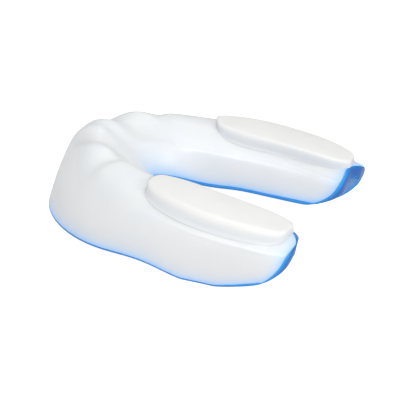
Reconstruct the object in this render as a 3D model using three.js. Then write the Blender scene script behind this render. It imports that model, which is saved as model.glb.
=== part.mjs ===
// Mouthguard (upper arch, boil-and-bite style), millimetres, +Z up.
// It rests on its rims with the bite side up: +Y is the closed front of the
// arch, -Y the two open rear ends, X runs across the mouth, left at -X.
//
// An outer shell, a softer liner that fills the shell and shows as a lip round
// its rims, and two raised molar bite pads.
//
// Two fractions place points on the arch: "station" runs along one half, 0 at
// the front midline to 1 at the rear; "around" runs round the channel's
// section, 0 at the outer rim, over the bite surface, to 1 at the inner rim.

import * as THREE from 'three';

// ---------------------------------------------------------------- sizes (mm)
const LINER_LIP = 0.7; // liner standing proud of the shell's rims and rear ends
const GAP = 0.3; // working gap between neighbouring pieces
const SHELL_WALL = 0.95;
const SHELL_ROOF = 1.8; // shell thickness under the bite surface
const LINER_WALL = 0.95;
const LINER_ROOF = 1.5; // liner thickness over the biting edges of the teeth
const ARCH_CENTRE_Y = 5.077; // middle of the guard, front to back, in the plan curves

// mesh resolution
const ARM_STATIONS = 24; // steps along each half of the arch
const PROFILE_STEPS = 16; // steps round the section, rim to rim
const PAD_AROUND = 36; // points round a pad's outline

// The two walls of the channel. Each list holds the control values of a
// uniform cubic B-spline along one half arch, front midline to rear end.
//   side: +1 cheek and lip wall, -1 tongue wall
//   shoulder, rim: plan curves; rimZ: height of the rim, 0 is the table
//   round: rounding of the shoulder; bulge: bulge of the wall's face
//   heel: rear end of the wall in side view, a superellipse arc that runs
//     back from y at lowZ by run at highZ
const OUTER_WALL = {
  side: 1,
  shoulder: {
    x: [0, 12.21, 20.94, 26.01, 28.5, 29.23, 27.75, 25.65],
    y: [35.52, 29.33, 20.22, 9.76, -0.25, -9.05, -19.01, -30.84],
  },
  rim: {
    x: [0, 16.7, 23.8, 26.1, 26.8, 25.6, 24.9, 25.78],
    y: [42.38, 30.9, 18.4, 9.3, 2.67, -5, -14.13, -25.83],
  },
  rimZ: [-0.4, 0, 0.9, 2.4, 2.21, -0.8, 0.03, 4.84],
  round: [3.06, 3.08, 2.65, 2.06, 2.06, 2.6],
  bulge: [0, 0.13, 0.36, 0.53, 0.48, 0.7],
  heel: { y: -18.3, run: 10.2, lowZ: 2.0, highZ: 13.3, power: 1.6 },
};
const INNER_WALL = {
  side: -1,
  shoulder: {
    x: [0, 6.84, 9.93, 11.53, 13.72, 15.32, 15.24, 14.12],
    y: [22.98, 19.28, 12.74, 4.13, -4.9, -12.93, -20.61, -31.33],
  },
  rim: {
    x: [0, 6.62, 11.1, 13.72, 15.19, 15.81, 15.82, 14.91],
    y: [16.03, 11.15, 5.1, -1.7, -8.44, -15.39, -22.36, -29.36],
  },
  rimZ: [9.5, 7.6, 4.75, 4.9, 4.16, 4.12, 4.23, 5.52],
  round: [4.03, 4.05, 4.1, 4.09, 4.01, 3.86],
  bulge: [0.49, 0.53, 0.59, 0.53, 0.47, 0.56],
  heel: { y: -15.8, run: 10.9, lowZ: 4.0, highZ: 13.3, power: 1.75 },
};

// Bite surface: height and crown along the arch, as control values.
const TOP_Z = [19.5, 19.69, 18.36, 17.41, 16.83, 16.07, 15.51, 14.09];
const CROWN = [0.35, 0.3, 0.3, 0.35, 0.4, 0.4];

// Relief of the bite surface over the front teeth: a raised front step that
// fades out at a station, then bell-shaped bumps and dips.
const FRONT_STEP = { height: 0.45, station: 0.062, fade: 0.006 };
const FRONT_BUMPS = [
  { height: -0.5, station: 0.078, width: 0.012 },
  { height: 0.3, station: 0.155, width: 0.05 },
  { height: -0.6, station: 0.25, width: 0.012 },
];

// Control points of a wall between rim and shoulder, as fractions of the way
// up in plan and in height, and their share of the wall's bulge.
const WALL_POINTS = [
  { plan: 0.3, height: 0.36, bulge: 0.8 },
  { plan: 0.72, height: 0.68, bulge: 1 },
];
const SHOULDER_DROP = 0.8; // shoulder below the top, as a share of its rounding
const SHOULDER_RELIEF = 0.5; // share of the relief that reaches the shoulder
const ROUND_LOSS = 0.5; // rounding lost per mm of inset on the inner layers
const MIN_ROUND = 1.6; // least rounding on the inner layers

// Bite pads. Lists of three are values at the pad's front, middle and rear.
const PAD_SPAN = [0.430, 0.936]; // stations of the flat top, front and rear
const PAD_BASE_SPAN = [0.436, 0.942]; // stations of the foot of the slanted sides
const PAD_OUT = [5.45, 5.05, 5.45]; // half width of the flat top towards the cheek
const PAD_IN = [3.65, 5.6, 3.6]; // and towards the tongue
const PAD_RISE = [1.76, 1.59]; // top edge above the bite surface: front, rear
const PAD_BASE_OUT = [0.312, 0.304, 0.280]; // foot, round the section, cheek side
const PAD_BASE_IN = [0.655, 0.651, 0.640]; // and tongue side
const PAD_CORNER = 3.9; // squareness of the outline
const PAD_FRONT_CORNER = 2.4; // and at its front corner on the cheek side
const PAD_CROWN = 0.35;

// Rings that build a pad, from its underside to its top.
const PAD_UNDER_RINGS = [0.35, 0.7, 1]; // size relative to the foot's outline
const PAD_SIDE_RINGS = [ // way from foot to top edge, in plan and in height
  { plan: 0.15, height: 0.22 },
  { plan: 0.55, height: 0.7 },
  { plan: 0.88, height: 0.97 },
];
const PAD_TOP_RINGS = [0.97, 0.8, 0.55, 0.3]; // size relative to the top's outline

// -------------------------------------------------------- surfaces and colours
// Each layer is the channel surface moved in from the outside:
//   inset through the walls, depth under the bite surface; outside marks the
//   visible surface, with relief; setback is how far it stops short of the
//   rims and rear ends.
const shellOutside = { inset: 0, depth: 0, outside: true, setback: LINER_LIP };
const shellInside = {
  inset: SHELL_WALL, depth: SHELL_ROOF, outside: false, setback: LINER_LIP,
};
const linerOutside = {
  inset: SHELL_WALL + GAP, depth: SHELL_ROOF + GAP, outside: false, setback: 0,
};
const linerInside = {
  inset: linerOutside.inset + LINER_WALL,
  depth: linerOutside.depth + LINER_ROOF,
  outside: false,
  setback: 0,
};
// the pads' undersides stand off the shell by the working gap
const padUnderside = { inset: -GAP, depth: -GAP, outside: true };

const SHELL_FINISH = { color: 0xeef1f4, roughness: 0.35, metalness: 0 };
const LINER_FINISH = { color: 0x2f86e6, roughness: 0.45, metalness: 0 };
const PAD_FINISH = { color: 0xeeefee, roughness: 0.5, metalness: 0 };

// ------------------------------------------------------------- maths helpers
const clampUnit = (value) => Math.min(Math.max(value, 0), 1);
const between = (start, end, f) => start + (end - start) * f;
const mix = (start, end, f) => start.map((value, k) => between(value, end[k], f));
const move = (point, direction, distance) => [
  point[0] + direction[0] * distance,
  point[1] + direction[1] * distance,
];
function directionTo(from, to) {
  const length = Math.hypot(to[0] - from[0], to[1] - from[1]);
  return [(to[0] - from[0]) / length, (to[1] - from[1]) / length];
}

// halves the range until it closes on the point where isBefore turns false
function bisect(low, high, steps, isBefore) {
  for (let k = 0; k < steps; k += 1) {
    const middle = (low + high) / 2;
    if (isBefore(middle)) low = middle;
    else high = middle;
  }
  return (low + high) / 2;
}

// cubic B-spline weights of four neighbouring control values, and their slopes
const weights = (f) => [
  (1 - f) ** 3 / 6,
  (3 * f ** 3 - 6 * f * f + 4) / 6,
  (-3 * f ** 3 + 3 * f * f + 3 * f + 1) / 6,
  f ** 3 / 6,
];
const slopes = (f) => [
  -((1 - f) ** 2) / 2,
  (9 * f * f - 12 * f) / 6,
  (-9 * f * f + 6 * f + 3) / 6,
  f * f / 2,
];

// spline at a fraction of its length; "before" is the control value ahead of the first
function spline(values, fraction, before, basis) {
  const last = values.length - 1;
  const reach = clampUnit(fraction) * last;
  const span = Math.min(Math.floor(reach), last - 1);
  const padded = [before, ...values, 2 * values[last] - values[last - 1]];
  return basis(reach - span).reduce((sum, weight, k) => sum + padded[span + k] * weight, 0);
}
// values that are equal on both sides of the midline
const even = (values, station, basis = weights) => spline(values, station, values[1], basis);
// values that run straight on before the first; from 0 they change sign at the midline
const straight = (values, fraction, basis = weights) => (
  spline(values, fraction, 2 * values[0] - values[1], basis)
);

const planPoint = (curve, station) => [straight(curve.x, station), even(curve.y, station)];
// unit normal in plan, pointing to the lips and cheeks
function planNormal(curve, station) {
  const dx = straight(curve.x, station, slopes);
  const dy = even(curve.y, station, slopes);
  const length = Math.hypot(dx, dy);
  return [-dy / length, dx / length];
}

// --------------------------------------------------- section of the channel
function relief(station) {
  const { height, station: edge, fade } = FRONT_STEP;
  const step = height / (1 + Math.exp((station - edge) / fade));
  return FRONT_BUMPS.reduce((sum, bump) => (
    sum + bump.height * Math.exp(-(((station - bump.station) / bump.width) ** 2))
  ), step);
}

// shoulder in plan, rounding, and control points from rim to shoulder
function wallSection(wall, station, layer, topZ, raise) {
  const inward = -wall.side * layer.inset;
  const normal = planNormal(wall.shoulder, station);
  const shoulder = move(planPoint(wall.shoulder, station), normal, inward);
  const rim = move(planPoint(wall.rim, station), planNormal(wall.rim, station), inward);
  const rimZ = Math.max(even(wall.rimZ, station), 0);
  const bulge = wall.side * even(wall.bulge, station);
  let round = even(wall.round, station);
  if (!layer.outside) round = Math.max(round - ROUND_LOSS * layer.inset, MIN_ROUND);
  const points = [
    [...rim, rimZ],
    ...WALL_POINTS.map((place) => [
      ...move(mix(rim, shoulder, place.plan), normal, bulge * place.bulge),
      between(rimZ, topZ, place.height),
    ]),
    [...shoulder, topZ - round * SHOULDER_DROP + raise * SHOULDER_RELIEF],
  ];
  return { shoulder, round, points };
}

// control points of the whole section, outer rim to inner rim
function section(station, layer) {
  const topZ = even(TOP_Z, station) - layer.depth;
  const raise = layer.outside ? relief(station) : 0;
  const outer = wallSection(OUTER_WALL, station, layer, topZ, raise);
  const inner = wallSection(INNER_WALL, station, layer, topZ, raise);
  const outward = directionTo(inner.shoulder, outer.shoulder);
  return [
    ...outer.points,
    [...move(outer.shoulder, outward, -outer.round), topZ + raise],
    [...mix(outer.shoulder, inner.shoulder, 0.5), topZ + raise + even(CROWN, station)],
    [...move(inner.shoulder, outward, inner.round), topZ + raise],
    ...inner.points.reverse(),
  ];
}

const pointAround = (controls, around) => [0, 1, 2].map((axis) => (
  straight(controls.map((point) => point[axis]), around)
));

// ------------------------------------------------------- channel surfaces
// point of a layer; "across" is 0 to 1 between the layer's own two edges
function layerPoint(layer, station, across) {
  const controls = section(station, layer);
  // fraction of the section cut off at one rim, to leave the setback
  const trim = (rim, aroundAt) => {
    if (layer.setback === 0) return 0;
    return bisect(0, 0.25, 22, (f) => (
      pointAround(controls, aroundAt(f))[2] < rim[2] + layer.setback
    ));
  };
  const start = trim(controls[0], (f) => f);
  const end = 1 - trim(controls[controls.length - 1], (f) => 1 - f);
  return pointAround(controls, between(start, end, across));
}

// rearmost y of the channel at height z; inwardness 0 outer wall, 1 inner wall
function heelY(z, inwardness) {
  const size = (key) => between(OUTER_WALL.heel[key], INNER_WALL.heel[key], inwardness);
  const drop = clampUnit((size('highZ') - z) / (size('highZ') - size('lowZ')));
  const power = size('power');
  return size('y') - size('run') * (1 - drop ** power) ** (1 / power);
}

// station where a layer meets the heel
function rearStation(layer, across) {
  // blends from the outer heel to the inner one over the middle of the section
  const blend = clampUnit((across - 0.4) / 0.2);
  const inwardness = blend * blend * (3 - 2 * blend);
  const aheadOfHeel = (station) => {
    const [, y, z] = layerPoint(layer, station, across);
    return y - heelY(z, inwardness) - layer.setback > 0;
  };
  return aheadOfHeel(1) ? 1 : bisect(0.7, 1, 30, aheadOfHeel);
}

// grid of points over the whole arch: rows left rear -> front -> right rear
function channelSurface(layer) {
  const ends = [];
  for (let j = 0; j <= PROFILE_STEPS; j += 1) {
    ends.push(rearStation(layer, j / PROFILE_STEPS));
  }
  const right = [];
  for (let i = 0; i <= ARM_STATIONS; i += 1) {
    right.push(ends.map((end, j) => {
      const [x, y, z] = layerPoint(layer, (i / ARM_STATIONS) * end, j / PROFILE_STEPS);
      return [i === 0 ? 0 : x, y, z]; // the front row lies exactly on the midline
    }));
  }
  const left = right.slice(1).reverse().map((row) => row.map(([x, y, z]) => [-x, y, z]));
  return [...left, ...right];
}

// ------------------------------------------------------------- mesh building
function signedVolume(positions, index) {
  const corners = [new THREE.Vector3(), new THREE.Vector3(), new THREE.Vector3()];
  let volume = 0;
  for (let k = 0; k < index.length; k += 3) {
    corners.forEach((corner, n) => corner.fromArray(positions, index[k + n] * 3));
    volume += corners[0].dot(corners[1].cross(corners[2]));
  }
  return volume;
}

// Closed solid through a row of equal loops. Strips across the first and last
// loop close the ends; they join point k to point (count - shift - k).
function solidFromLoops(loops, shift) {
  const count = loops[0].length;
  const index = [];
  for (let i = 0; i + 1 < loops.length; i += 1) {
    for (let j = 0; j < count; j += 1) {
      const here = i * count + j;
      const beside = i * count + (j + 1) % count;
      index.push(here, beside, beside + count, here, beside + count, here + count);
    }
  }

  const last = (loops.length - 1) * count;
  const capBoth = (first, second, third) => {
    if (first === second || second === third) return; // the strip's ends are triangles
    index.push(first, second, third, last + first, last + third, last + second);
  };
  for (let k = 0; k < count / 2 - shift; k += 1) {
    const opposite = (count - shift - k) % count;
    const nextOpposite = count - 1 - shift - k;
    capBoth(k, opposite, nextOpposite);
    capBoth(k, nextOpposite, k + 1);
  }

  const positions = loops.flat(2);
  if (signedVolume(positions, index) < 0) {
    // turn every face outward
    for (let k = 0; k < index.length; k += 3) {
      [index[k + 1], index[k + 2]] = [index[k + 2], index[k + 1]];
    }
  }
  const geometry = new THREE.BufferGeometry();
  geometry.setAttribute('position', new THREE.Float32BufferAttribute(positions, 3));
  geometry.setIndex(index);
  geometry.computeVertexNormals();
  return geometry;
}

// solid between two layers; the end strips span the wall thickness
function channelSolid(outerLayer, innerLayer) {
  const outer = channelSurface(outerLayer);
  const inner = channelSurface(innerLayer);
  return solidFromLoops(outer.map((row, i) => [...row, ...inner[i].reverse()]), 1);
}

// ----------------------------------------------------------------- bite pads
// In a pad, "along" runs -1 front to 1 rear and "out" -1 tongue to 1 cheek.

// smooth curve through the front, middle and rear values, f from 0 to 1
const through = ([front, middle, rear], f) => (
  2 * (f - 0.5) * (f - 1) * front + 4 * f * (1 - f) * middle + 2 * f * (f - 0.5) * rear
);

function padUnder(along, out) {
  const f = (along + 1) / 2;
  const reach = out > 0 ? through(PAD_BASE_OUT, f) - 0.5 : 0.5 - through(PAD_BASE_IN, f);
  const station = between(...PAD_BASE_SPAN, f);
  return pointAround(section(station, padUnderside), 0.5 + reach * out);
}

// size is the ring's size relative to the outline of the top
function padOver(along, out, size) {
  const f = (along + 1) / 2;
  const station = between(...PAD_SPAN, f);
  const outer = planPoint(OUTER_WALL.shoulder, station);
  const inner = planPoint(INNER_WALL.shoulder, station);
  const offset = out * through(out > 0 ? PAD_OUT : PAD_IN, f);
  const plan = move(mix(outer, inner, 0.5), directionTo(inner, outer), offset);
  const rise = between(...PAD_RISE, f) + PAD_CROWN * (1 - size * size);
  return [...plan, even(TOP_Z, station) + rise];
}

function padSide(along, out, way) {
  const foot = padUnder(along, out);
  const edge = padOver(along, out, 1);
  return [
    ...mix(foot.slice(0, 2), edge.slice(0, 2), way.plan),
    between(foot[2], edge[2], way.height),
  ];
}

// ring of points on a rounded-square outline; side is -1 left, 1 right
function padRing(side, pointAt) {
  return Array.from({ length: PAD_AROUND }, (_, k) => {
    const angle = (2 * Math.PI * k) / PAD_AROUND;
    const cos = Math.cos(angle);
    const sin = Math.sin(angle);
    const power = cos < 0 && sin > 0 ? PAD_FRONT_CORNER : PAD_CORNER;
    const scale = (Math.abs(cos) ** power + Math.abs(sin) ** power) ** (-1 / power);
    const [x, y, z] = pointAt(cos * scale, sin * scale);
    return [x * side, y, z];
  });
}

function padSolid(side) {
  const pointFinders = [
    ...PAD_UNDER_RINGS.map((size) => (along, out) => padUnder(along * size, out * size)),
    ...PAD_SIDE_RINGS.map((way) => (along, out) => padSide(along, out, way)),
    ...PAD_TOP_RINGS.map((size) => (along, out) => padOver(along * size, out * size, size)),
  ];
  return solidFromLoops(pointFinders.map((pointAt) => padRing(side, pointAt)), 0);
}

// -------------------------------------------------------------------- parts
function part(name, geometry, finish) {
  geometry.translate(0, -ARCH_CENTRE_Y, 0);
  const mesh = new THREE.Mesh(geometry, new THREE.MeshStandardMaterial(finish));
  mesh.name = name;
  return mesh;
}

const mouthguard = new THREE.Group();
mouthguard.name = 'mouthguard';
mouthguard.add(
  part('outer_shell', channelSolid(shellOutside, shellInside), SHELL_FINISH),
  part('inner_liner', channelSolid(linerOutside, linerInside), LINER_FINISH),
  part('left_bite_pad', padSolid(-1), PAD_FINISH),
  part('right_bite_pad', padSolid(1), PAD_FINISH),
);

export default mouthguard;
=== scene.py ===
"""A mouthguard: a white shell over a blue liner, both arch-shaped channels, and two bite pads.

It lies with its rims down on z = 0 and its bite surface up. The midline is x = 0, the front
of the arch points to +Y and its two arms run back to -Y. Shapes are worked out in
millimetres and turned into metres when a mesh is made.

Two coordinates place a point on the channel: along, 0 at the midline to 1 past the rear
end of an arm, and across, 0 at the outer (cheek) rim to 1 at the inner (tongue) rim.
"""

import math

import bmesh
import bpy
import numpy as np
from mathutils import Matrix, Vector


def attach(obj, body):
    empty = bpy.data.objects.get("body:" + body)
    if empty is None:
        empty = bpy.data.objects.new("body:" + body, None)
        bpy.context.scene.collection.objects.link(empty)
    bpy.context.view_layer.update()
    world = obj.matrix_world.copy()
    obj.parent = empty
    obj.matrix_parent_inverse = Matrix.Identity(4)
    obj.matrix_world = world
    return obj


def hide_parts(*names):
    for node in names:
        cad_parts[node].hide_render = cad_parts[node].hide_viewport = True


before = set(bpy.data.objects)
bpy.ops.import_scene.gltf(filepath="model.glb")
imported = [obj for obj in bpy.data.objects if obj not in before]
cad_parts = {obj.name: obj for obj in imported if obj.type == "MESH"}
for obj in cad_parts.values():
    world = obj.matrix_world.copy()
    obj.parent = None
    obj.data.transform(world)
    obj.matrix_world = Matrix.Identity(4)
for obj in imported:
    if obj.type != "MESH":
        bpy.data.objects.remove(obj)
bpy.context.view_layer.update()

MM = 0.001
ARCH_CENTRE_Y = 5.077             # moved to y = 0 in the meshes

# ------------------------------------------------------------------ the arch
# Spline control values of one half arch, evenly spaced from midline to rear.
# shoulder, rim: plan curves (x values, y values); rim_z: height of the rim;
# corner: rounding onto the top; bulge: swelling of the wall; facing: side of the curves
OUTER = dict(
    facing=1,
    shoulder=([0, 12.21, 20.94, 26.01, 28.5, 29.23, 27.75, 25.65],
              [35.52, 29.33, 20.22, 9.76, -0.25, -9.05, -19.01, -30.84]),
    rim=([0, 16.7, 23.8, 26.1, 26.8, 25.6, 24.9, 25.78],
         [42.38, 30.9, 18.4, 9.3, 2.67, -5, -14.13, -25.83]),
    rim_z=[-0.4, 0, 0.9, 2.4, 2.21, -0.8, 0.03, 4.84],
    corner=[3.06, 3.08, 2.65, 2.06, 2.06, 2.6],
    bulge=[0, 0.13, 0.36, 0.53, 0.48, 0.7])
INNER = dict(
    facing=-1,
    shoulder=([0, 6.84, 9.93, 11.53, 13.72, 15.32, 15.24, 14.12],
              [22.98, 19.28, 12.74, 4.13, -4.9, -12.93, -20.61, -31.33]),
    rim=([0, 6.62, 11.1, 13.72, 15.19, 15.81, 15.82, 14.91],
         [16.03, 11.15, 5.1, -1.7, -8.44, -15.39, -22.36, -29.36]),
    rim_z=[9.5, 7.6, 4.75, 4.9, 4.16, 4.12, 4.23, 5.52],
    corner=[4.03, 4.05, 4.1, 4.09, 4.01, 3.86],
    bulge=[0.49, 0.53, 0.59, 0.53, 0.47, 0.56])
TOP_Z = [19.5, 19.69, 18.36, 17.41, 16.83, 16.07, 15.51, 14.09]
CROWN = [0.35, 0.3, 0.3, 0.35, 0.4, 0.4]
MIN_CORNER = 1.6

# the other skins: how far the rim, lower wall, upper wall and shoulder move
# into the channel, and how far the top drops
SHELL_INSIDE = dict(insets=(.25, .70, .95, .95), drop=1.8)
LINER_OUTSIDE = dict(insets=(.30, .75, 1.0, 1.0), drop=1.86)
LINER_INSIDE = dict(insets=(1.25, 1.65, 2.1, 2.15), drop=3.5)

# profile of the rear end: y at its top, run back from there, bottom z, top z, curve power
HEEL_OUTER = (-18.3, 10.2, 2.0, 13.3, 1.6)
HEEL_INNER = (-15.8, 10.9, 4.0, 13.3, 1.75)
HEEL_CORNER_OUTER = 2.6           # radii where the rims run into the rear end
HEEL_CORNER_INNER = 2.2


def smooth(x, start, end):
    """Smooth step from 0 at start to 1 at end."""
    u = np.clip((np.asarray(x, float) - start) / (end - start), 0, 1)
    return u * u * (3 - 2 * u)


def bell(x, centre, width):
    return np.exp(-(((x - centre) / width) ** 2))


def unit(vectors):
    return vectors / np.linalg.norm(vectors, axis=-1, keepdims=True)


def value_weights(f):
    """Uniform cubic B-spline weights of four neighbouring control points."""
    return ((1 - f) ** 3 / 6, (3 * f ** 3 - 6 * f * f + 4) / 6,
            (-3 * f ** 3 + 3 * f * f + 3 * f + 1) / 6, f ** 3 / 6)


def slope_weights(f):
    return (-((1 - f) ** 2) / 2, (9 * f * f - 12 * f) / 6,
            (-9 * f * f + 6 * f + 3) / 6, f * f / 2)


def spline(values, along, odd=False, weights=value_weights):
    """Spline mirrored at the midline, with its sign turned there if odd."""
    values = np.asarray(values, float)
    spans = len(values) - 1
    before = -values[1] if odd else values[1]
    points = np.concatenate([[before], values, [2 * values[-1] - values[-2]]])
    u = np.clip(along, 0, 1) * spans
    i = np.minimum(np.floor(u).astype(int), spans - 1)
    weight = weights(u - i)
    return sum(points[i + k] * weight[k] for k in range(4))


def plan(curve, along):
    return np.stack([spline(curve[0], along, True), spline(curve[1], along)], -1)


def plan_normal(curve, along):
    dx = spline(curve[0], along, True, slope_weights)
    dy = spline(curve[1], along, False, slope_weights)
    length = np.hypot(dx, dy)
    return np.stack([-dy / length, dx / length], -1)


def point(xy, z):
    return np.concatenate([xy, z[..., None]], -1)


def wall(side, along, top_z, insets):
    """Control points of one wall, rim to shoulder; its shoulder in plan; its corner."""
    rim_in, low_in, high_in, shoulder_in = insets
    shoulder, rim = plan(side["shoulder"], along), plan(side["rim"], along)
    outwards = plan_normal(side["shoulder"], along) * side["facing"]
    rim_outwards = plan_normal(side["rim"], along) * side["facing"]
    rim_z = np.maximum(spline(side["rim_z"], along), 0)
    corner = np.maximum(spline(side["corner"], along) - 0.5 * shoulder_in, MIN_CORNER)
    bulge = spline(side["bulge"], along)

    def between(plan_share, height_share, swelling):
        xy = rim + (shoulder - rim) * plan_share + outwards * swelling[..., None]
        return point(xy, rim_z + (top_z - rim_z) * height_share)

    edge = shoulder - outwards * shoulder_in
    points = [point(rim - rim_outwards * rim_in, rim_z),
              between(.3, .36, bulge * .8 - low_in),
              between(.72, .68, bulge - high_in),
              point(edge, top_z - corner * .8)]
    return points, edge, corner[..., None]


def section(along, insets=(0, 0, 0, 0), drop=0.0):
    """Control polygon of the channel's section, outer to inner rim: (..., 11, 3)."""
    along = np.asarray(along, float)
    top_z = spline(TOP_Z, along) - drop
    outer, outer_edge, outer_corner = wall(OUTER, along, top_z, insets)
    inner, inner_edge, inner_corner = wall(INNER, along, top_z, insets)
    outwards = unit(outer_edge - inner_edge)
    top = [point(outer_edge - outwards * outer_corner, top_z),
           point((outer_edge + inner_edge) / 2, top_z + spline(CROWN, along)),
           point(inner_edge + outwards * inner_corner, top_z)]
    return np.stack(outer + top + inner[::-1], -2)


def on_section(polygons, across):
    """Point on each control polygon (..., 11, 3) at across (...)."""
    spans = polygons.shape[-2] - 1
    first = 2 * polygons[..., :1, :] - polygons[..., 1:2, :]
    last = 2 * polygons[..., -1:, :] - polygons[..., -2:-1, :]
    points = np.concatenate([first, polygons, last], -2)
    u = np.clip(across, 0, 1) * spans
    i = np.minimum(np.floor(u).astype(int), spans - 1)
    weight = value_weights(u - i)
    return sum(np.take_along_axis(points, (i + k)[..., None, None], -2)[..., 0, :]
               * weight[k][..., None] for k in range(4))


def relief(x, along, across):
    """Height of the relief moulded into the bite surface in front of the pads."""
    x = np.abs(x)
    # plateau at the midline, with a groove each side of it
    z = 0.20 * bell(x, centre=2.1, width=1.5)
    z -= 1.15 * smooth(x, start=2.4, end=6.9) * (1 - smooth(x, start=6.9, end=12.0))
    # rounded hump, then the hollow behind it
    z += 0.34 * bell(along, centre=.165, width=.055)
    z -= 0.26 * bell(along, centre=.256, width=.036) * (1 - smooth(along, start=.248, end=.284))
    z -= 0.24 * smooth(along, start=.18, end=.245) * (1 - smooth(along, start=.248, end=.290))
    # step up onto the arm, and a faint crease ahead of it on the inner half
    z += 0.14 * smooth(along, start=.255, end=.30) * (1 - smooth(along, start=.31, end=.44))
    z -= 0.05 * bell(along, centre=.222, width=.014) * smooth(across, start=.44, end=.52)
    flat_top = smooth(across, start=.20, end=.38) * (1 - smooth(across, start=.58, end=.80))
    return z * flat_top


def ridges(along, across):
    """Low ridges beside each pad's foot, and the folds between them and the pad."""
    # outer ridge
    extent = smooth(along, start=.47, end=.72) * (1 - smooth(along, start=.90, end=.965))
    centre = .276 - .020 * smooth(along, start=.60, end=.93)
    fold = (smooth(across, start=centre + .008, end=centre + .034)
            * (1 - smooth(across, start=.36, end=.44)))
    z = extent * (.44 * bell(across, centre, width=.017) - .16 * fold)
    # inner ridge
    extent = smooth(along, start=.58, end=.76) * (1 - smooth(along, start=.89, end=.955))
    centre = .690 + .028 * smooth(along, start=.62, end=.88)
    fold = (smooth(across, start=.60, end=.64)
            * (1 - smooth(across, start=centre - .028, end=centre - .006)))
    return z + extent * (.34 * bell(across, centre, width=.016) - .16 * fold)


def outer_skin(along, across):
    """The shell's outside: the plain section with its ridges and relief."""
    polygons = section(along)
    skin = on_section(polygons, across)
    step = 1e-3
    tangent = (on_section(polygons, np.clip(across + step, 0, 1))
               - on_section(polygons, np.clip(across - step, 0, 1)))
    # the ridges stand along the section's normal, in its own plane
    outwards = unit(plan(OUTER["shoulder"], along) - plan(INNER["shoulder"], along))
    level = (tangent[..., :2] * outwards).sum(-1)
    rise = tangent[..., 2]
    length = np.sqrt(level * level + rise * rise) + 1e-12
    height = ridges(along, across)
    skin[..., :2] += outwards * (height * rise / length)[..., None]
    skin[..., 2] += relief(skin[..., 0], along, across) - height * level / length
    return skin


# --------------------------------------------------- where the channel ends
N_ACROSS = 361                    # samples across in the tables below
ACROSS = np.linspace(0, 1, N_ACROSS)


def sample_sections(along):
    """Plain sections at along (n, 1 or N_ACROSS), sampled at every ACROSS."""
    return on_section(section(along), np.broadcast_to(ACROSS, (len(along), N_ACROSS)))


def arc_length(points, axis):
    lengths = np.linalg.norm(np.diff(points, axis=axis), axis=-1)
    zero = np.zeros_like(np.take(lengths, [0], axis))
    return np.concatenate([zero, np.cumsum(lengths, axis)], axis)


def distance_back(along):
    """Arc length back from the last row of along (n, N_ACROSS)."""
    lengths = arc_length(sample_sections(along), 0)
    return lengths[-1] - lengths


def along_at(distance, back, along):
    """along at a distance from the rear end, in each column of the tables back and along."""
    return np.array([np.interp(distance[j], back[::-1, j], along[::-1, j])
                     for j in range(N_ACROSS)])


def heel_y(z, inner_share):
    y, run, bottom, top, power = [a + (b - a) * inner_share
                                  for a, b in zip(HEEL_OUTER, HEEL_INNER)]
    fall = np.clip((top - z) / (top - bottom), 0, 1)
    return y - run * (1 - fall ** power) ** (1 / power)


def find_heel():
    """along where the section meets the heel profile, by bisection."""
    inner_share = smooth(ACROSS, start=.4, end=.6)
    low, high = np.full(N_ACROSS, .7), np.ones(N_ACROSS)
    for _ in range(40):
        middle = (low + high) / 2
        skin = on_section(section(middle), ACROSS)
        ahead = skin[:, 1] > heel_y(skin[:, 2], inner_share)
        low, high = np.where(ahead, middle, low), np.where(ahead, high, middle)
    return (low + high) / 2


def round_corners(end):
    """Cut the heel back in an arc where it meets each rim."""
    along = np.linspace(.5, 1, 241)[:, None] * end
    from_outer = arc_length(sample_sections(along)[-1], 0)
    cut = np.zeros(N_ACROSS)
    for distance, radius in ((from_outer, HEEL_CORNER_OUTER),
                             (from_outer[-1] - from_outer, HEEL_CORNER_INNER)):
        q = np.clip(radius - distance, 0, radius)
        cut = np.maximum(cut, radius - np.sqrt(np.maximum(radius * radius - q * q, 0)))
    return along_at(cut, distance_back(along), along)


END = round_corners(find_heel())
# dense table of along and of the distance back from the end, closer towards the end
SHARES = np.concatenate([np.linspace(0, .8, 200), np.linspace(.8, 1, 201)[1:]])
ALONG = SHARES[:, None] * END
BACK = distance_back(ALONG)

# distance round the section from the outer and from the inner rim
SECTION_ALONG = np.linspace(0, 1, 241)
FROM_OUTER = arc_length(sample_sections(SECTION_ALONG[:, None]), 1)
FROM_INNER = FROM_OUTER[:, -1:] - FROM_OUTER


# How far the shell's edge stands back from the rims and the rear end,
# leaving a lip of the liner.
def outer_lip(along):
    return .50 + .02 * smooth(along, start=.55, end=.75) + .40 * smooth(along, start=.78, end=.93)


def inner_lip(along):
    return .86 + .20 * smooth(along, start=.1, end=.4) + .04 * smooth(along, start=.75, end=.9)


def rear_lip(across):
    return (.94 - .78 * bell(across, centre=.41, width=.10)
            + .10 * smooth(across, start=.60, end=.8))


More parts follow.
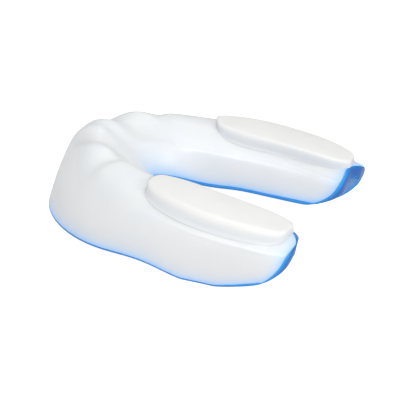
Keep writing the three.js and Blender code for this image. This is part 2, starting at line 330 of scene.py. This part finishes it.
def make_grid(n_main, rear_rows, rim_columns, n_middle):
    """Half a skin's grid: along, across, distance from the rim and from the rear end.

    n_main rows run from the midline to rear_rows, which are distances from the
    rear end, largest first. n_middle columns lie between the columns at the rims,
    whose distances from the rim are rim_columns(lip)."""
    rear = [along_at(distance, BACK, ALONG) for distance in rear_rows]
    share = np.linspace(0, 1, n_main + 1)[:-1]
    share = share * (0.62 + 0.38 * share)          # closer together over the front
    rows = np.array([s * rear[0] for s in share] + rear)

    middle = N_ACROSS // 2
    from_outer, from_inner = [
        np.stack([np.interp(rows[:, j], SECTION_ALONG, table[:, j])
                  for j in range(N_ACROSS)], 1)
        for table in (FROM_OUTER, FROM_INNER)]
    centre = slice(middle, middle + 1)
    lengths = np.where(np.arange(N_ACROSS) <= middle, from_outer,
                       from_outer[:, centre] + from_inner[:, centre] - from_inner)
    # kept rising, so that it can be interpolated
    lengths = np.maximum.accumulate(lengths, 1) + np.arange(N_ACROSS) * 1e-9

    along, across, from_rim = [], [], []
    for row, length in zip(rows, lengths):
        mean = row.mean()
        total = length[-1]
        outer, inner = rim_columns(outer_lip(mean)), rim_columns(inner_lip(mean))
        between = np.linspace(outer[-1], total - inner[-1], n_middle + 2)[1:-1]
        place = np.concatenate([outer, between, (total - inner)[::-1]])
        across.append(np.interp(place, length, ACROSS))
        along.append(np.interp(across[-1], ACROSS, row))
        from_rim.append(np.minimum(place, total - place))
    along, across = np.array(along), np.array(across)
    return along, across, np.array(from_rim), rear_distance(along, across)


def rear_distance(along, across):
    """Arc length back from the rear end, for each point."""
    place = np.clip(across * (N_ACROSS - 1), 0, N_ACROSS - 1)
    column = np.minimum(np.floor(place).astype(int), N_ACROSS - 2)

    def in_column(columns):
        return np.array([np.interp(x, ALONG[:, j], BACK[:, j]) for x, j
                         in zip(along.ravel(), columns.ravel())]).reshape(along.shape)

    low = in_column(column)
    return low + (in_column(column + 1) - low) * (place - column)


# -------------------------------------------------------------- mesh building
def make_mesh(name, verts, faces, attributes):
    """Smooth closed mesh from vertices in mm, with its faces outwards."""
    mesh = bpy.data.meshes.new(name)
    verts = np.array(verts, float)
    verts[:, 1] -= ARCH_CENTRE_Y
    mesh.from_pydata((verts * MM).tolist(), [], [tuple(int(i) for i in f) for f in faces])
    mesh.validate()
    mesh.update()
    for key, data in attributes.items():
        attribute = mesh.attributes.new(key, "FLOAT", "POINT")
        attribute.data.foreach_set("value", np.asarray(data, np.float32))
    ob = bpy.data.objects.new(name, mesh)
    bpy.context.scene.collection.objects.link(ob)
    mesh.polygons.foreach_set("use_smooth", [True] * len(mesh.polygons))
    bm = bmesh.new()
    bm.from_mesh(mesh)
    bmesh.ops.recalc_face_normals(bm, faces=bm.faces)
    if bm.calc_volume(signed=True) < 0:
        bmesh.ops.reverse_faces(bm, faces=bm.faces)
    bm.to_mesh(mesh)
    bm.free()
    mesh.update()
    return ob


def mirror(grid):
    """Whole arch from a half: rows from the rear at -X, round the front, to the rear at +X."""
    left = grid[1:][::-1].copy()
    if grid.ndim == 3:
        left[..., 0] *= -1
    return np.concatenate([left, grid])


def pillow(name, outside, inside, fullness, bias, **grids):
    """Closed body between two half skins, mirrored and joined on their border.

    fullness runs from 0 on the border to 1: it rounds the edge, about a line
    that lies bias of the way from the inside to the outside. grids become attributes."""
    outside, inside, fullness = mirror(outside), mirror(inside), mirror(fullness)[..., None]
    middle = outside * bias + inside * (1 - bias)
    outside = middle + (outside - middle) * fullness
    inside = middle + (inside - middle) * fullness
    n, m = outside.shape[:2]
    inner = np.zeros((n, m), bool)
    inner[1:-1, 1:-1] = True
    out_id = np.arange(n * m).reshape(n, m)
    in_id = out_id.copy()
    in_id[inner] = n * m + np.arange(inner.sum())
    faces = []
    for i in range(n - 1):
        for j in range(m - 1):
            faces.append((out_id[i, j], out_id[i, j + 1], out_id[i + 1, j + 1], out_id[i + 1, j]))
            faces.append((in_id[i, j], in_id[i + 1, j], in_id[i + 1, j + 1], in_id[i, j + 1]))
    attributes = {}
    for key, grid in grids.items():
        whole = mirror(grid)
        attributes[key] = np.concatenate([whole.ravel(), whole[inner]])
    attributes["inside"] = np.concatenate([np.zeros(n * m), np.ones(inner.sum())])
    verts = np.concatenate([outside.reshape(-1, 3), inside[inner]])
    return make_mesh(name, verts, faces, attributes)


def edge_fullness(distance, radius):
    q = np.clip(distance / radius, 0, 1)
    return np.sqrt(np.maximum(1 - (1 - q) ** 2, 0))


# ------------------------------------------------------------- the outer shell
SHELL_EDGE_RADIUS = .30
SHELL_MIN_FULLNESS = .02          # keeps the skins apart off the border
# rows and columns at the shell's edge, as distances in from it
SHELL_STEPS = np.array([0, .012, .05, .12, .22, .34, .6, 1.0, 1.6])
EDGE_BLEND = .8                   # softness of the corners of the edge attribute
EDGE_LIMIT = 30


def build_shell():
    along, across, from_rim, from_rear = make_grid(
        n_main=120, rear_rows=[rear_lip(ACROSS) + step for step in SHELL_STEPS[::-1]],
        rim_columns=lambda lip: lip + SHELL_STEPS, n_middle=92)
    from_rim = from_rim - np.where(across < .5, outer_lip(along), inner_lip(along))
    from_rear = from_rear - rear_lip(across)
    from_rim[:, 0] = from_rim[:, -1] = 0
    from_rear[-1] = 0
    fullness = np.minimum(edge_fullness(from_rim, SHELL_EDGE_RADIUS),
                          edge_fullness(from_rear, SHELL_EDGE_RADIUS))
    fullness[:-1, 1:-1] = np.maximum(fullness[:-1, 1:-1], SHELL_MIN_FULLNESS)
    # smooth minimum of the two distances
    edge = -np.log(np.exp(-np.maximum(from_rim, 0) / EDGE_BLEND)
                   + np.exp(-np.maximum(from_rear, 0) / EDGE_BLEND) + 1e-9) * EDGE_BLEND
    edge = np.clip(edge, 0, EDGE_LIMIT)
    # the inner wall is thinnest at the front, so more blue, and more of the painted glow, shows
    # there
    edge = edge * (1 - .46 * smooth(across, start=.60, end=.80)
                   * (1 - smooth(along, start=.12, end=.36)))
    inside = on_section(section(along, **SHELL_INSIDE), across)
    return pillow("shell_moulding", outer_skin(along, across), inside, fullness, bias=.5,
                  edge=edge, along=along, across=across)


# ------------------------------------------------------------- the inner liner
LINER_EDGE_RADIUS = .42
LINER_RIM_STEPS = (0, .02, .07, .16, .30)             # in from the liner's rim
LINER_REAR_STEPS = (.34, .16, .07, .02, 0)            # from its rear end
LIP_STEPS = (-.10, -.035, .02, .12, .5, 1.2)          # either side of the shell's edge
LIP_SINK = .10                    # share of the way down to the liner's outside, at the lip


def build_liner():
    along, across, from_rim, from_rear = make_grid(
        n_main=84,
        rear_rows=([rear_lip(ACROSS) + step for step in LIP_STEPS[::-1]]
                   + [np.full(N_ACROSS, step) for step in LINER_REAR_STEPS]),
        rim_columns=lambda lip: np.array([*LINER_RIM_STEPS, *(lip + s for s in LIP_STEPS)]),
        n_middle=54)
    from_rear[-1] = 0
    from_rim[:, 0] = from_rim[:, -1] = 0
    # the lip comes nearly flush with the shell; the rest lies under it
    lip = np.where(across < .5, outer_lip(along), inner_lip(along))
    covered = np.minimum(*(smooth(distance, start=width - .03, end=width + .02)
                           for distance, width in ((from_rim, lip),
                                                   (from_rear, rear_lip(across)))))
    sink = LIP_SINK + (1 - LIP_SINK) * covered
    flush = outer_skin(along, across)
    under = on_section(section(along, **LINER_OUTSIDE), across)
    inside = on_section(section(along, **LINER_INSIDE), across)
    fullness = np.minimum(edge_fullness(from_rim, LINER_EDGE_RADIUS),
                          edge_fullness(from_rear, LINER_EDGE_RADIUS))
    return pillow("liner_moulding", flush + (under - flush) * sink[..., None], inside,
                  fullness, bias=.74, edge=np.minimum(from_rim, from_rear),
                  along=along, across=across)


# ---------------------------------------------------------------- the bite pads
PAD_SEGMENTS = 168
PAD_SPAN = (0.430, 0.936)         # along at the front and rear of the flat top
PAD_BASE_SPAN = (0.436, 0.942)    # and of the foot
# at the pad's front, middle and rear:
PAD_OUT = (5.45, 5.05, 5.45)      # half width of the top towards the cheek
PAD_IN = (3.65, 5.6, 3.6)         # and towards the tongue
PAD_BASE_OUT = (0.312, 0.304, 0.280)   # across at the foot's outer side
PAD_BASE_IN = (0.655, 0.651, 0.640)    # and at its inner side
PAD_RISE = (1.76, 1.59)           # top above the channel, front and rear
PAD_CROWN = 0.35
PAD_CORNER = 3.9                  # superellipse power of the outline
PAD_FRONT_CORNER = 2.4            # and at its front outer corner
PAD_LIFT = .02                    # underside above the shell
PAD_FOOT = .05                    # upright edge at the foot
PAD_UNDER_RINGS = (.25, .5, .75, .92, .985)    # shares of the outline's size
PAD_TOP_RINGS = (.97, .93, .87, .78, .66, .53, .40, .27, .14)
# side of the pad: share of the way from foot to top sideways, and upwards
PAD_SIDE = ((.04, .003), (.09, .014), (.15, .045), (.21, .10), (.28, .19), (.36, .32),
            (.45, .48), (.55, .65), (.66, .80), (.77, .905), (.88, .97))


def through(values, u):
    """Parabola through the front, middle and rear values."""
    return (2 * (u - .5) * (u - 1) * values[0] + 4 * u * (1 - u) * values[1]
            + 2 * u * (u - .5) * values[2])


def in_span(span, rearwards):
    return (span[0] + span[1]) / 2 + (span[1] - span[0]) / 2 * rearwards


def pad_under(rearwards, outwards):
    """Points just above the shell, and its normals; both inputs run -1 to 1."""
    along = in_span(PAD_BASE_SPAN, rearwards)
    u = (rearwards + 1) / 2
    reach = np.where(outwards > 0, through(PAD_BASE_OUT, u) - .5, .5 - through(PAD_BASE_IN, u))
    across = .5 + reach * outwards
    step = 1e-3
    d_along = outer_skin(along + step, across) - outer_skin(along - step, across)
    d_across = outer_skin(along, across + step) - outer_skin(along, across - step)
    normals = unit(np.cross(d_across, d_along))
    normals *= np.sign(normals[:, 2:3])
    return outer_skin(along, across) + normals * PAD_LIFT, normals


def pad_top(rearwards, outwards, size):
    along = in_span(PAD_SPAN, rearwards)
    u = (rearwards + 1) / 2
    outer, inner = plan(OUTER["shoulder"], along), plan(INNER["shoulder"], along)
    width = outwards * np.where(outwards > 0, through(PAD_OUT, u), through(PAD_IN, u))
    xy = (outer + inner) / 2 + unit(outer - inner) * width[:, None]
    return point(xy, spline(TOP_Z, along) + PAD_RISE[0] + (PAD_RISE[1] - PAD_RISE[0]) * u
                 + PAD_CROWN * (1 - size * size))


def build_pad(name, sign):
    """Rings from under the pad, up its side and over its top; sign is its side in x."""
    n = PAD_SEGMENTS
    angle = 2 * np.pi * np.arange(n) / n
    cos, sin = np.cos(angle), np.sin(angle)
    power = np.where((cos < 0) & (sin > 0), PAD_FRONT_CORNER, PAD_CORNER)
    radius = (np.abs(cos) ** power + np.abs(sin) ** power) ** (-1 / power)
    rearwards, outwards = cos * radius, sin * radius

    rings = [pad_under(rearwards * size, outwards * size)[0] for size in PAD_UNDER_RINGS]
    base, normals = pad_under(rearwards, outwards)
    foot = base + normals * PAD_FOOT
    rings += [base, foot]
    rim = pad_top(rearwards, outwards, 1.0)
    height = ((rim - foot) * normals).sum(-1, keepdims=True)
    sideways = (rim - foot) - normals * height
    rings += [foot + sideways * side + normals * height * up for side, up in PAD_SIDE]
    level = [0] * (len(PAD_UNDER_RINGS) + 2) + [up for _, up in PAD_SIDE]
    rings += [pad_top(rearwards * size, outwards * size, size) for size in PAD_TOP_RINGS]
    level += [1] * len(PAD_TOP_RINGS)

    faces = []
    for i in range(len(rings) - 1):
        for j in range(n):
            k = (j + 1) % n
            faces.append((i * n + j, i * n + k, (i + 1) * n + k, (i + 1) * n + j))
    # close both ends with a strip of faces across the ring
    for base_id in (0, (len(rings) - 1) * n):
        for j in range(n // 2):
            corners = (j, j + 1, n - 1 - j, (n - j) % n)
            # the first and last are triangles: equal corners merge
            faces.append([base_id + i for i in dict.fromkeys(corners)])
    verts = np.array(rings).reshape(-1, 3)
    verts[:, 0] *= sign
    levels = np.repeat(level, n)
    return make_mesh(name, verts, faces, {"level": levels, "inside": 0 * levels})


shell = build_shell()
liner = build_liner()
pad_left = build_pad("bite_pad_left", -1)
pad_right = build_pad("bite_pad_right", 1)


# ------------------------------------------------------------------ materials
def new_material(name):
    """A material, its emptied node tree and its output node."""
    material = bpy.data.materials.new(name)
    material.use_nodes = True
    tree = material.node_tree
    tree.nodes.clear()
    return material, tree, tree.nodes.new("ShaderNodeOutputMaterial")


class Nodes:
    """Short calls that add nodes to a new material and return their outputs."""

    def __init__(self, name):
        self.material, self.tree, self.output = new_material(name)
        self.coord = self.add("TexCoord")

    def add(self, kind):
        return self.tree.nodes.new("ShaderNode" + kind)

    def put(self, socket, value):
        if isinstance(value, bpy.types.NodeSocket):
            self.tree.links.new(value, socket)
        else:
            socket.default_value = value

    def attribute(self, name):
        node = self.add("Attribute")
        node.attribute_name = name
        return node.outputs["Fac"]

    def noise(self, scale, detail, rough=.55):
        node = self.add("TexNoise")
        node.inputs["Scale"].default_value = scale
        node.inputs["Detail"].default_value = detail
        node.inputs["Roughness"].default_value = rough
        self.put(node.inputs["Vector"], self.coord.outputs["Object"])
        return node.outputs["Fac"]

    def math(self, operation, a, b, clamp=False):
        node = self.add("Math")
        node.operation = operation
        node.use_clamp = clamp
        self.put(node.inputs[0], a)
        self.put(node.inputs[1], b)
        return node.outputs[0]

    def ramp(self, value, start, end, low=0, high=1):
        node = self.add("MapRange")
        for i, setting in enumerate((value, start, end, low, high)):
            self.put(node.inputs[i], setting)
        return node.outputs[0]

    def mix(self, factor, a, b):
        node = self.add("Mix")
        node.data_type = "RGBA"
        for i, setting in ((0, factor), (6, a), (7, b)):
            self.put(node.inputs[i], setting)
        return node.outputs[2]

    def bump(self, height, distance, strength, normal=None):
        node = self.add("Bump")
        node.inputs["Strength"].default_value = strength
        node.inputs["Distance"].default_value = distance
        self.put(node.inputs["Height"], height)
        if normal is not None:
            self.put(node.inputs["Normal"], normal)
        return node.outputs["Normal"]

    def fade(self, distance, rate):
        """Exponential fall with distance."""
        return self.math("POWER", 2.718, self.math("MULTIPLY", distance, -rate))

    def cloud(self, scale, a, b):
        """Two colours in soft clouds."""
        return self.mix(self.ramp(self.noise(scale, detail=3, rough=.5), .3, .7), a, b)

    def specks(self, grain, start, colour, speck):
        """Faint specks where the grain is above start."""
        factor = self.math("MULTIPLY", self.ramp(grain, start, .75), .05)
        return self.mix(factor, colour, speck)

    def surface(self, rough_scale, rough, grain, grain_depth, grain_strength, dent_scale):
        """Patchy roughness between two values, and a normal with grain and soft dents."""
        patches = self.noise(rough_scale, detail=3)
        roughness = self.ramp(patches, .3, .7, *rough)
        fine = self.bump(grain, grain_depth, grain_strength)
        dents = self.noise(dent_scale, detail=2, rough=.5)
        return roughness, self.bump(dents, distance=.00012, strength=.30, normal=fine)

    def principled(self, **settings):
        node = self.add("BsdfPrincipled")
        for key, value in settings.items():
            self.put(node.inputs[key.replace("_", " ")], value)
        self.put(self.output.inputs[0], node.outputs[0])


def rgb(*channels):
    """sRGB 0..255 to linear, with alpha."""
    return (*(((c / 255 + .055) / 1.055) ** 2.4 if c > 10 else c / 255 / 12.92
              for c in channels), 1)


def shell_material():
    m = Nodes("eva_white")
    edge = m.attribute("edge")
    grain = m.noise(1400, detail=4, rough=.6)
    body = m.cloud(95, rgb(241, 244, 247), rgb(236, 240, 244))
    # the liner's blue comes through where the wall thins towards the rim; the same share also
    # sets a painted blue glow, an emission that stands in for light shining through the thin wall
    wobble = m.math("MULTIPLY", m.math("SUBTRACT", m.noise(160, detail=2), .5), .5)
    depth = m.math("ADD", edge, wobble)
    near = m.fade(depth, rate=1.10)
    far = m.fade(depth, rate=.42)
    blue_and_glow = m.math("ADD", m.math("MULTIPLY", near, .58), m.math("MULTIPLY", far, .15), clamp=True)
    colour = m.mix(blue_and_glow, body, rgb(98, 178, 255))
    colour = m.specks(grain, .62, colour, rgb(252, 252, 250))
    roughness, normal = m.surface(rough_scale=420, rough=(.30, .42), grain=grain,
                                  grain_depth=.00002, grain_strength=.35, dent_scale=230)
    # painted glow: the blue emission below brightens the rims, though the shell is no lamp
    m.principled(Base_Color=colour, Roughness=roughness, IOR=1.46, Subsurface_Weight=.55,
                 Subsurface_Radius=(.9, 1.0, 1.15), Subsurface_Scale=.0016, Coat_Weight=.25,
                 Coat_Roughness=.20, Normal=normal, Emission_Color=rgb(110, 185, 255),
                 Emission_Strength=m.math("MULTIPLY", blue_and_glow, .34))
    return m.material


def liner_material():
    m = Nodes("eva_blue")
    edge = m.attribute("edge")
    inside = m.attribute("inside")
    grain = m.noise(1100, detail=4, rough=.6)
    deep = m.cloud(120, rgb(30, 146, 226), rgb(46, 160, 236))
    # painted shade: darker at the very edge, where the rim's underside lies in shadow; paler
    # inside the channel
    outer = m.mix(m.ramp(edge, 0, .6), rgb(16, 96, 180), deep)
    inner = m.mix(m.ramp(m.noise(60, detail=2), .35, .65), rgb(134, 170, 218), rgb(150, 182, 224))
    colour = m.mix(m.math("MULTIPLY", inside, m.ramp(edge, .4, 2.2)), outer, inner)
    roughness, normal = m.surface(rough_scale=380, rough=(.34, .48), grain=grain,
                                  grain_depth=.00002, grain_strength=.4, dent_scale=210)
    m.principled(Base_Color=colour, Roughness=roughness, IOR=1.46, Subsurface_Weight=.35,
                 Subsurface_Radius=(.5, .8, 1.1), Subsurface_Scale=.0009, Coat_Weight=.15,
                 Coat_Roughness=.2, Normal=normal)
    return m.material


def pad_material():
    m = Nodes("eva_pad")
    level = m.attribute("level")
    grain = m.noise(1700, detail=4, rough=.65)
    body = m.cloud(110, rgb(245, 245, 242), rgb(241, 241, 239))
    # painted shade: the sides are greyer than the top and darkest towards the foot, where the
    # fold under the pad is in shade; the top's warmer white is the pad's own colour
    side = m.mix(m.ramp(level, .30, .75), rgb(226, 229, 232), rgb(231, 233, 233))
    colour = m.mix(m.ramp(level, .70, 1.0), side, body)
    colour = m.specks(grain, .6, colour, rgb(253, 252, 250))
    roughness, normal = m.surface(rough_scale=500, rough=(.42, .56), grain=grain,
                                  grain_depth=.00003, grain_strength=.5, dent_scale=260)
    m.principled(Base_Color=colour, Roughness=roughness, IOR=1.46,
                 Subsurface_Weight=m.ramp(level, .05, .5, high=.5),
                 Subsurface_Radius=(1.0, 1.0, 1.0), Subsurface_Scale=.0014, Coat_Weight=.08,
                 Coat_Roughness=.3, Normal=normal)
    return m.material


def finish(ob, material, node):
    ob.data.materials.append(material)
    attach(ob, "root")
    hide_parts(node)


finish(shell, shell_material(), "outer_shell")
finish(liner, liner_material(), "inner_liner")
pad_white = pad_material()
finish(pad_left, pad_white, "left_bite_pad")
finish(pad_right, pad_white, "right_bite_pad")

# ------------------------------------------------------------ floor and world
FLOOR_SIZE = 6
FLOOR_Z = -0.00002
FLOOR_GREY = .5
FLOOR_BOUNCE = .40                # glow that lights the guard
FLOOR_SEEN = .95                  # glow that the camera sees
AMBIENT = .49
BACKGROUND_SEEN = 1.2


def camera_switch(tree, others, camera):
    """One value for camera rays and another for all others."""
    path = tree.nodes.new("ShaderNodeLightPath")
    switch = tree.nodes.new("ShaderNodeMapRange")
    switch.inputs["To Min"].default_value = others
    switch.inputs["To Max"].default_value = camera
    tree.links.new(path.outputs["Is Camera Ray"], switch.inputs["Value"])
    return switch.outputs["Result"]


def floor_material():
    """A white table lit from below: bright to the camera, softer as a bounce."""
    material, tree, output = new_material("floor_white")
    diffuse = tree.nodes.new("ShaderNodeBsdfDiffuse")
    diffuse.inputs["Color"].default_value = (FLOOR_GREY, FLOOR_GREY, FLOOR_GREY, 1)
    glow = tree.nodes.new("ShaderNodeEmission")
    glow.inputs["Color"].default_value = (1, 1, 1, 1)
    glow.inputs["Strength"].default_value = .5     # if unlinked
    tree.links.new(camera_switch(tree, FLOOR_BOUNCE, FLOOR_SEEN), glow.inputs["Strength"])
    both = tree.nodes.new("ShaderNodeAddShader")
    tree.links.new(diffuse.outputs[0], both.inputs[0])
    tree.links.new(glow.outputs[0], both.inputs[1])
    tree.links.new(both.outputs[0], output.inputs[0])
    return material


bpy.ops.mesh.primitive_plane_add(size=FLOOR_SIZE, location=(0, 0, FLOOR_Z))
floor = bpy.context.object
floor.name = "floor"
floor.data.materials.append(floor_material())

world = bpy.data.worlds.new("studio")
bpy.context.scene.world = world
world.use_nodes = True
background = world.node_tree.nodes["Background"]
background.inputs[0].default_value = (1, 1, 1, 1)
background.inputs[1].default_value = AMBIENT       # if unlinked
world.node_tree.links.new(camera_switch(world.node_tree, AMBIENT, BACKGROUND_SEEN),
                          background.inputs[1])

# -------------------------------------------------------------------- lights
# square softboxes: name, azimuth, elevation (degrees), watts before scaling, size (m)
LIGHTS = (("side_fill", -70, 28, 1.05, .22), ("front_fill", -10, 28, .50, .22),
          ("key", -75, 66, .26, .26), ("top", -60, 82, .12, .26),
          ("back_low", 110, 28, .10, .22), ("back", 110, 58, .20, .22),
          ("right", 50, 58, .10, .22), ("left", 170, 58, .10, .22))
LIGHT_SCALE = 1.12
LIGHT_DISTANCE = .60


def direction(azimuth, elevation):
    """Unit vector from the guard; azimuth in degrees from -Y towards +X."""
    a, e = math.radians(azimuth), math.radians(elevation)
    return Vector((math.sin(a) * math.cos(e), -math.cos(a) * math.cos(e), math.sin(e)))


for name, azimuth, elevation, watts, size in LIGHTS:
    light = bpy.data.lights.new(name, "AREA")
    light.energy = watts * LIGHT_SCALE
    light.size = size
    ob = bpy.data.objects.new(name, light)
    bpy.context.scene.collection.objects.link(ob)
    towards = direction(azimuth, elevation)
    ob.location = towards * LIGHT_DISTANCE
    ob.rotation_mode = "QUATERNION"
    ob.rotation_quaternion = (-towards).to_track_quat("-Z", "Y")

# --------------------------------------------------------------------- camera
CAMERA_AZIMUTH, CAMERA_ELEVATION, CAMERA_ROLL = -70.1, 25.18, 5.17     # degrees
CAMERA_TARGET = Vector((8.36, 0.263, 2.78)) * MM
CAMERA_DISTANCE = 460.93 * MM

back = direction(CAMERA_AZIMUTH, CAMERA_ELEVATION)
right = (-back).cross(Vector((0, 0, 1))).normalized()
up = right.cross(-back)
roll = math.radians(CAMERA_ROLL)
rolled_right = right * math.cos(roll) + up * math.sin(roll)
rolled_up = -right * math.sin(roll) + up * math.cos(roll)
lens = bpy.data.cameras.new("camera")
camera = bpy.data.objects.new("camera", lens)
bpy.context.scene.collection.objects.link(camera)
lens.sensor_width = 36
lens.lens = 179.1963
lens.clip_start, lens.clip_end = .01, 20
rotation = Matrix((rolled_right, rolled_up, back)).transposed().to_4x4()
camera.matrix_world = Matrix.Translation(CAMERA_TARGET + back * CAMERA_DISTANCE) @ rotation
bpy.context.scene.camera = camera

bpy.context.scene.view_settings.view_transform = "Standard"
bpy.context.scene.view_settings.look = "None"
